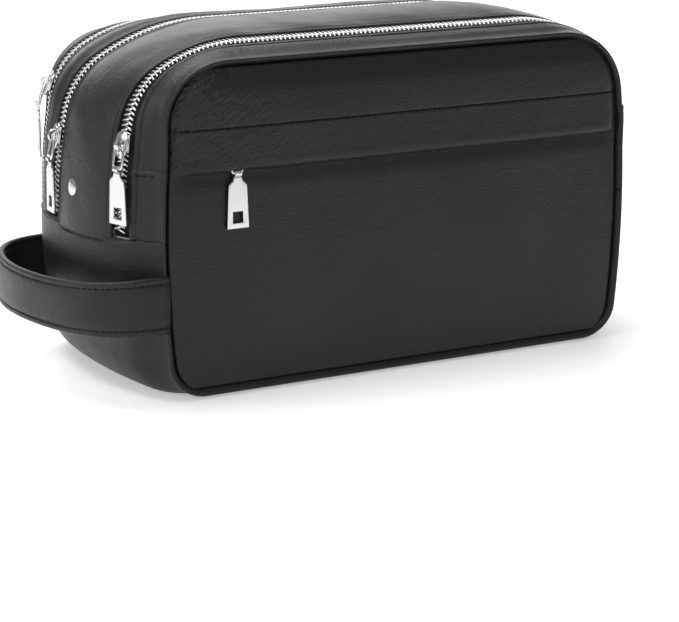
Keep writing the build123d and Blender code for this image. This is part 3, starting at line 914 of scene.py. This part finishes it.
def pull_metal(bm, barrel_length):
    """Pull in its own frame, hanging from its pin at the origin along -Y."""
    stations = (
        (-1.4, 2.0), (-2.6, 2.3), (-3.6, 2.6), (-4.8, 4.3), (-5.8, 4.9), (-8.5, 5.05),
        (-13, 5.25), (-18.7, 5.5), (-24.3, 5.75), (-27, 5.8),
    )
    window = 2.8
    made = bmesh.ops.create_grid(bm, x_segments=3, y_segments=len(stations) - 1, size=1)["verts"]
    for vert in made:
        row = round((1 - vert.co.y) / 2 * (len(stations) - 1))
        column = round((vert.co.x + 1) / 2 * 3)
        y, half = stations[row]
        inner = min(window, half * 0.5)
        vert.co = Vector(((-half, -inner, inner, half)[column] * MM, y * MM, -0.65 * MM))
    faces = {face for vert in made for face in vert.link_faces}
    gap = [
        f for f in faces
        if abs(f.calc_center_median().x) < MM and -24.3 * MM < f.calc_center_median().y < -18.7 * MM
    ]
    bmesh.ops.delete(bm, geom=gap, context="FACES_ONLY")
    faces = [f for f in bm.faces if all(v in made for v in f.verts)]
    grown = bmesh.ops.extrude_face_region(bm, geom=faces)
    raised = [item for item in grown["geom"] if isinstance(item, bmesh.types.BMVert)]
    bmesh.ops.translate(bm, verts=raised, vec=(0, 0, 1.3 * MM))
    bmesh.ops.recalc_face_normals(bm, faces=bm.faces[:])
    rims = [e for e in bm.edges if len(e.link_faces) == 2 and e.calc_face_angle(0) > 1.0
            and all(v in made or v in raised for v in e.verts)]
    bmesh.ops.bevel(bm, geom=rims, offset=0.28 * MM, segments=2, affect="EDGES", profile=0.5, material=-1)
    turned = Matrix.Rotation(math.radians(90), 4, "Y")
    bmesh.ops.create_cone(
        bm, cap_ends=True, segments=24, radius1=1.7 * MM, radius2=1.7 * MM,
        depth=barrel_length, matrix=turned,
    )


def metal_piece(name, build, place, body, node, slot_name="nickel"):
    bm = bmesh.new()
    build(bm)
    bm.transform(place)
    piece = finish_piece(name, bm, nickel, body, node, slot=slot_name)
    piece.data.set_sharp_from_angle(angle=math.radians(38))
    return piece


for zip_name in ("front", "main", "rear"):
    seated, upright = seated_frame(zip_name)
    metal_piece(zip_name + "_slider_metal", slider_metal, seated, zip_name + "_slider",
        zip_name + "_zip_slider")
    metal_piece(
        zip_name + "_link_metal",
        lambda bm: wire_ring(bm, LINK_WIDTH - WIRE, LINK_LENGTH, WIRE, (0, -LINK_LENGTH / 2, 0)),
        seated, zip_name + "_link", zip_name + "_zip_link",
    )
    pin = Vector(next(j for j in frame["joints"] if j["name"] == zip_name + "_pull_swing")["pos_m"])
    metal_piece(
        zip_name + "_pull_metal", lambda bm: pull_metal(bm, 3.6 * MM), Matrix.Translation(pin) @ upright,
        zip_name + "_pull", zip_name + "_zip_pull",
    )


def wall_slider_metal(bm):
    """Slider of a flat pocket zip; its origin is the pin that carries the pull, below and in front."""
    level = Matrix.Rotation(math.radians(90), 4, "Z")
    start = len(bm.verts)
    plate(bm, 9.0 * MM, 13.0 * MM, 1.0 * MM, (0, 0, -2.5 * MM), taper=0.3, squareness=2.6)
    plate(bm, 9.0 * MM, 13.0 * MM, 1.0 * MM, (0, 0, -8.9 * MM), taper=0.3, squareness=2.6)
    block(bm, (0.8 * MM, 3 * MM, 5.6 * MM), (0, 3.4 * MM, -5.2 * MM), 0.2 * MM)
    bm.verts.ensure_lookup_table()
    bmesh.ops.transform(bm, matrix=Matrix.Translation((0, 8.5 * MM, 0)) @ level, verts=bm.verts[start:])
    wire_ring(bm, 5.6 * MM, 9.6 * MM, 0.62 * MM, (0, 4.8 * MM, -0.1 * MM))


facing = Matrix(((1, 0, 0), (0, 0, -1), (0, 1, 0))).to_4x4()
for pocket, nodes_named in (("pocket", "pocket_zip"), ("mesh", "mesh_zip")):
    pin = Vector(next(j for j in frame["joints"] if j["name"] == pocket + "_pull_swing")["pos_m"])
    set_up = Matrix.Translation(pin) @ facing
    metal_piece(pocket + "_slider_metal", wall_slider_metal, set_up, pocket + "_slider",
        nodes_named + "_slider")
    metal_piece(pocket + "_pull_metal", lambda bm: pull_metal(bm, 3.6 * MM), set_up, pocket + "_pull",
        nodes_named + "_pull")
repaint(tooth_metal, "pocket_zip_teeth", "mesh_zip_teeth")

# ---- Rivet ----
# A nickelled dome rivet through the centre band on the left end, below its zip's slider.

RIVET_DEPTH, RIVET_HEIGHT, RIVET_RADIUS = -10 * MM, 99 * MM, 5.5 * MM


def rivet_metal(bm):
    made = bmesh.ops.create_uvsphere(bm, u_segments=40, v_segments=20, radius=1)["verts"]
    for vert in made:
        flat = 1.5 if vert.co.z > 0 else 0.6
        vert.co = Vector((vert.co.x * RIVET_RADIUS, vert.co.y * RIVET_RADIUS, vert.co.z * flat * MM))


rivet_run = -run_to(RIVET_DEPTH, RIVET_HEIGHT)
rivet_out = outward(RIVET_DEPTH, rivet_run)
rivet_seat = Matrix.Translation(skin(RIVET_DEPTH, rivet_run, 1.0 * MM)) @ rivet_out.to_track_quat("Z",
    "Y").to_matrix().to_4x4()
metal_piece("rivet_metal", rivet_metal, rivet_seat, "bag", "rivet")

# ---- Carry strap ----
# A band of the same leather, folded and stitched along both edges, sewn into the front and rear
# seams of the left end so that it stands out as a loop.

STRAP_HEIGHT, STRAP_WIDTH, STRAP_THICK, STRAP_REACH = 50.0 * MM, 28.6 * MM, 3.2 * MM, 46.3 * MM
STITCH_IN = 3.4 * MM


def strap_line(t):
    """Centre line of the band seen from above; t runs 0 to 1 from the front seam to the rear one."""
    angle = math.pi * min(1.0, max(0.0, t))
    seam = -130.4 * MM - 0.6 * MM * smooth(t * 4)
    return Vector((seam - STRAP_REACH * math.sin(angle) ** 0.6, -69.2 * MM * math.cos(angle), 0))


def band_face(up):
    """Thickness each side of the band's middle at a height on it: padded, nipped at both stitch lines."""
    half, thick = STRAP_WIDTH / 2, STRAP_THICK / 2
    edge = half - abs(up)
    turned = max(0.0, 1 - edge / thick)
    nip = 0.5 * MM * math.exp(-((edge - STITCH_IN) / (0.45 * MM)) ** 2)
    swell = 0.35 * MM * smooth((edge - STITCH_IN) / (4 * MM))
    return max(0.02 * MM, thick * math.sqrt(max(0.0, 1 - turned ** 2)) - nip + swell)


strap_steps = [0, 0.15, 0.4, 0.8, 1.2, 1.6, 2.2, 2.7, 3.05, 3.4, 3.75, 4.1, 4.8, 6, 8, 10.5, 13]
up_steps = (
    [h * MM - STRAP_WIDTH / 2 for h in strap_steps]
    + [STRAP_WIDTH / 2 - h * MM for h in strap_steps[::-1]]
)
strap_rows = [(up, 1) for up in up_steps] + [(up, -1) for up in up_steps[::-1]]


def strap_place(u, v):
    t = u
    up, side = strap_rows[round(v * (len(strap_rows) - 1))]
    ahead = (strap_line(min(1, t + 0.004)) - strap_line(max(0, t - 0.004))).normalized()
    out = Vector((-ahead.y, ahead.x, 0))
    bend = math.sin(math.pi * t)
    rise = -0.6 * MM * bend - 5 * MM * smooth(t)
    point = strap_line(t) + out * side * band_face(up) + Vector((0, 0,
        STRAP_HEIGHT + up * (1 - 0.11 * bend) + rise))
    return point + out * ruffle(point, 40 * MM, 0.5 * MM, 4)


strap_bm = placed_grid(110, len(strap_rows) - 1, strap_place)
bmesh.ops.remove_doubles(strap_bm, verts=strap_bm.verts[:], dist=0.045 * MM)
bmesh.ops.holes_fill(strap_bm, edges=[e for e in strap_bm.edges if e.is_boundary], sides=0)
strap_leather = leather("strap_leather", (0.0085, 0.0085, 0.009), 0.44)
strap = finish_piece("carry_strap", strap_bm, strap_leather, None, "handle_strap", "handle_ends",
    slot="strap_leather")
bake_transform(strap)

# ---- Stitching ----
# Black bonded thread, about eight stitches to 25 mm: along the welt's seam, both edges of the
# strap, the laps beside the front panel, and the gusset's upper edge.

STITCH_PITCH, STITCH_LENGTH, STITCH_RADIUS = 3.1 * MM, 2.2 * MM, 0.4 * MM
thread = woven("black_thread", (0.0012, 0.0012, 0.0013), 0.9, 900, 0.05, sheen=0.0)


def stitching(name, length, place, body, blended=None):
    """Row of stitches; place(s) gives the point and outward direction at each length along the row."""
    bm = bmesh.new()
    for number in range(int(length / STITCH_PITCH)):
        middle = (number + 0.5) * STITCH_PITCH
        (first, out), (last, _) = place(middle - STITCH_LENGTH / 2), place(middle + STITCH_LENGTH / 2)
        along = last - first
        across = out.cross(along).normalized() * STITCH_RADIUS
        turn = Matrix((along / 2, across, out * STITCH_RADIUS)).transposed().to_4x4()
        bmesh.ops.create_uvsphere(
            bm, u_segments=6, v_segments=4, radius=1, matrix=Matrix.Translation((first + last) / 2) @ turn,
        )
    row = finish_piece(name, bm, thread, body)
    if blended:
        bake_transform(row)
    return row


def yoke_seam(s):
    x = -panel_half(SEAM) + 2.5 * MM + s
    z = SEAM - 0.4 * MM
    return Vector((x, -(64.6 * MM + welt_height(x, z, panel_half(z)) + 0.05 * MM), z)), Vector((0, -1, 0))


stitching("yoke_stitches", 2 * panel_half(SEAM) - 5 * MM, yoke_seam, "front_flap")
strap_marks = [0.0]
for step in range(1, 401):
    strap_marks.append(strap_marks[-1] + (strap_line(step / 400) - strap_line((step - 1) / 400)).length)


def strap_part(s):
    """Share of the strap's line at a length along it."""
    step = next((i for i, mark in enumerate(strap_marks) if mark >= s), 400)
    return max(1, step) / 400 - (strap_marks[step] - s) / (strap_marks[step] - strap_marks[max(0,
        step - 1)] + 1e-9) / 400


def strap_seam_at(side):
    def place(s):
        t = strap_part(s + 3 * MM)
        up = side * (STRAP_WIDTH / 2 - STITCH_IN)
        ahead = (strap_line(t + 0.004) - strap_line(t - 0.004)).normalized()
        out = Vector((-ahead.y, ahead.x, 0))
        bend = math.sin(math.pi * t)
        rise = -0.6 * MM * bend - 5 * MM * smooth(t)
        point = strap_line(t) + Vector((0, 0, STRAP_HEIGHT + up * (1 - 0.11 * bend) + rise))
        return point + out * (band_face(up) + 0.1 * MM + ruffle(point, 40 * MM, 0.5 * MM, 4)), out
    return place


for edge_name, side in (("top", 1), ("bottom", -1)):
    stitching(
        "strap_stitches_" + edge_name, strap_marks[-1] - 6 * MM, strap_seam_at(side), None,
        ("bag", "handle", (-137 * MM, 0, STRAP_HEIGHT), (-162 * MM, 0, STRAP_HEIGHT)),
    )


def gusset_seam(side, low, high):
    """Along the folded top edge of the gusset on one end, between two depths."""
    def place(s):
        y = low + s
        run = side * (run_to(y, FOLD) + HEM)
        return skin(y, run, LAP + 0.1 * MM), outward(y, run)
    return place


for end, side in (("left", -1), ("right", 1)):
    for part, low, high in (("centre", centre_low, centre_high), ("rear", rear_low, rear_high)):
        stitching("gusset_stitches_" + end + "_" + part, high - low, gusset_seam(side, low, high), "bag")


def lap_seam(side, top):
    def place(s):
        y = -63 * MM + s
        run = side * (run_to(y, top) + HEM)
        return skin(y, run, LAP + 0.15 * MM), outward(y, run)
    return place


stitching("lap_stitches_left", 9.5 * MM, lap_seam(-1, LAP_LEFT), "front_flap")
stitching("lap_stitches_right", 9.5 * MM, lap_seam(1, LAP_RIGHT), "front_flap")

# ---- Lining ----
# Light grey satin nylon inside every compartment, smooth and a little slack, bound at its edges.

lining_cloth = woven("grey_satin", (0.36, 0.36, 0.37), 0.42, 700, 0.05, sheen=0.35)
mesh_cloth = woven("black_ribbed_mesh", (0.012, 0.012, 0.013), 0.6, 150, 0.5, sheen=0.1, ribs=True)
elastic_cloth = woven("black_elastic", (0.010, 0.010, 0.011), 0.7, 330, 0.3, sheen=0.15, ribs=True)
CLOTH = 0.5 * MM
UNDER_LEATHER = 2.9 * MM


def declared(piece):
    """Returns the piece unchanged."""
    return piece


def lining_band(name, low, high, count, columns, run_at, body, nodes, blended=None):
    rows = [(low + (high - low) * i / count, -UNDER_LEATHER) for i in range(count + 1)]

    def slack(y, run, u, point):
        inside = smooth((y - low) / (10 * MM)) * smooth((high - y) / (10 * MM))
        return -inside * abs(ruffle(point, 26 * MM, 0.9 * MM, 5))

    piece = band(name, rows, columns, run_at, body, nodes, slack, CLOTH, lining_cloth, "grey_lining")
    if blended:
        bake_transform(piece)
    return declared(piece)


lining_band("centre_lining", centre_low + 1 * MM, centre_high - 1 * MM, 24, 150, over_top(FOLD, FOLD), "bag",
            ["centre_band_lining"])
lining_band("rear_lining", rear_low + 1 * MM, rear_high - 1 * MM, 12, 150, over_top(FOLD, FOLD), None, [],
            ("bag", "rear_section", (0, 0, FOLD), (0, 0, 110 * MM)))
lining_band("gusset_lining", -63 * MM, 63 * MM, 30, 150, round_base, "bag", ["lower_lining"])


def curtain(name, depth, low, high, half_at, material, body, nodes, thick=CLOTH, fullness=0.8 * MM,
        slot="grey_lining"):
    """Upright cloth wall across the bag at one depth, a little slack between its edges."""
    def place(u, v):
        z = low + (high - low) * v
        half = half_at(z)
        x = half * (2 * u - 1)
        inside = (
            smooth((half - abs(x)) / (14 * MM)) * smooth((z - low) / (10 * MM))
            * smooth((high - z) / (10 * MM))
        )
        sunk = settled(Vector((x, depth, z))).z
        return Vector((x, depth - inside * (fullness + abs(ruffle(Vector((x, depth, z)), 30 * MM, 1.2 * MM,
            7))), sunk))
    bm = placed_grid(70, 40, place)
    thicken(bm, thick, lambda middle: Vector((0, -1, 0)))
    return finish_piece(name, bm, material, body, *nodes, slot=slot)


def inner_half(y, inset):
    return lambda z: abs(on_form(y, run_to(y, z + 4 * MM)).x) - inset


def rounded_half(half, low, high, corner):
    """Half width at a height of a rectangle with rounded corners."""
    def width(z):
        short = max(0.0, corner - min(z - low, high - z))
        return half - corner + math.sqrt(max(0.0, corner ** 2 - short ** 2))
    return width


divider = curtain("front_divider_cloth", -29 * MM, 5 * MM, 168 * MM, inner_half(-30 * MM, 4.5 * MM),
    lining_cloth, "bag",
                  ["front_divider"], 2.0 * MM)
rear_divider = curtain("rear_divider_cloth", 33 * MM, 5 * MM, 168 * MM, inner_half(32 * MM, 4.5 * MM),
    lining_cloth, None,
                       ["rear_divider_lower", "rear_divider_upper"], 2.0 * MM)
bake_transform(rear_divider)
slip_pocket = curtain("slip_pocket_cloth", 29.2 * MM, 12 * MM, 112 * MM,
    rounded_half(120 * MM, 12 * MM, 130 * MM, 12 * MM),
                      elastic_cloth, None, ["slip_pocket_lower", "slip_pocket_upper"], slot="pocket_cloth")
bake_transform(slip_pocket)
declared(slip_pocket)
mesh_pocket = curtain("mesh_pocket_cloth", -33.8 * MM, 20 * MM, 122.6 * MM,
    rounded_half(116 * MM, 20 * MM, 140 * MM, 8 * MM),
                      mesh_cloth, "bag", ["mesh_pocket"], slot="mesh")
declared(mesh_pocket)
flap_half = rounded_half(126 * MM, 50 * MM, 156 * MM, 24 * MM)
flap_lining = curtain("flap_lining_cloth", -56.8 * MM, 82 * MM, 156 * MM, flap_half, lining_cloth,
    "front_flap",
                      ["flap_lining"], 1.0 * MM, -0.9 * MM)
rear_flap_lining = curtain("rear_flap_lining_cloth", 64.2 * MM, 82 * MM, 156 * MM, flap_half, lining_cloth,
    "rear_flap",
                           ["rear_flap_lining"])
declared(rear_flap_lining)
pocket_back = curtain("pocket_lining_cloth", -62.6 * MM, 80.6 * MM, 112 * MM, lambda z: 127 * MM,
    lining_cloth, "front_flap",
                      ["pocket_lining"])
declared(pocket_back)


def binding_line(t):
    """Edge of the flap's lining, from its foot on one side over the top to its foot on the other."""
    low, high, corner, half = 83 * MM, 155.5 * MM, 24 * MM, 125.5 * MM
    up, over, turn = high - corner - low, 2 * (half - corner), corner * math.pi / 2
    s = t * (2 * up + over + 2 * turn)
    if s < up:
        return Vector((-half, 0, low + s))
    if s < up + turn:
        a = (s - up) / corner
        return Vector((-half + corner - corner * math.cos(a), 0, high - corner + corner * math.sin(a)))
    if s < up + turn + over:
        return Vector((-half + corner + s - up - turn, 0, high))
    if s < up + 2 * turn + over:
        a = (s - up - turn - over) / corner
        return Vector((half - corner + corner * math.sin(a), 0, high - corner + corner * math.cos(a)))
    return Vector((half, 0, high - corner - (s - up - 2 * turn - over)))


def binding_place(u, v):
    here, ahead = binding_line(u), binding_line(min(1, u + 0.002)) - binding_line(max(0, u - 0.002))
    inward = Vector((ahead.z, 0, -ahead.x)).normalized()
    angle = 2 * math.pi * v
    return here + inward * (2.6 * MM * math.cos(angle)) + Vector((0,
        -56.2 * MM + 1.3 * MM * math.sin(angle), 0))


binding_bm = placed_grid(140, 12, binding_place)
bmesh.ops.remove_doubles(binding_bm, verts=binding_bm.verts[:], dist=0.02 * MM)
bmesh.ops.holes_fill(binding_bm, edges=[e for e in binding_bm.edges if e.is_boundary], sides=0)
finish_piece("flap_binding", binding_bm, lining_cloth, "front_flap", slot="grey_lining")


def elastic_place(centre):
    def place(u, v):
        z = 83 * MM + 66 * MM * u
        bow = 0.8 * MM * math.sin(math.pi * u)
        return Vector((centre + 25 * MM * (v - 0.5), -54.9 * MM + bow, z))
    return place


for side_name, centre in (("left", -78 * MM), ("right", 78 * MM)):
    elastic_bm = placed_grid(30, 8, elastic_place(centre))
    thicken(elastic_bm, 0.9 * MM, lambda middle: Vector((0, 1, 0)))
    covers = ["elastic_straps"] if side_name == "left" else []
    elastic = finish_piece("elastic_" + side_name, elastic_bm, elastic_cloth, "front_flap", *covers,
        slot="elastic")
    declared(elastic)
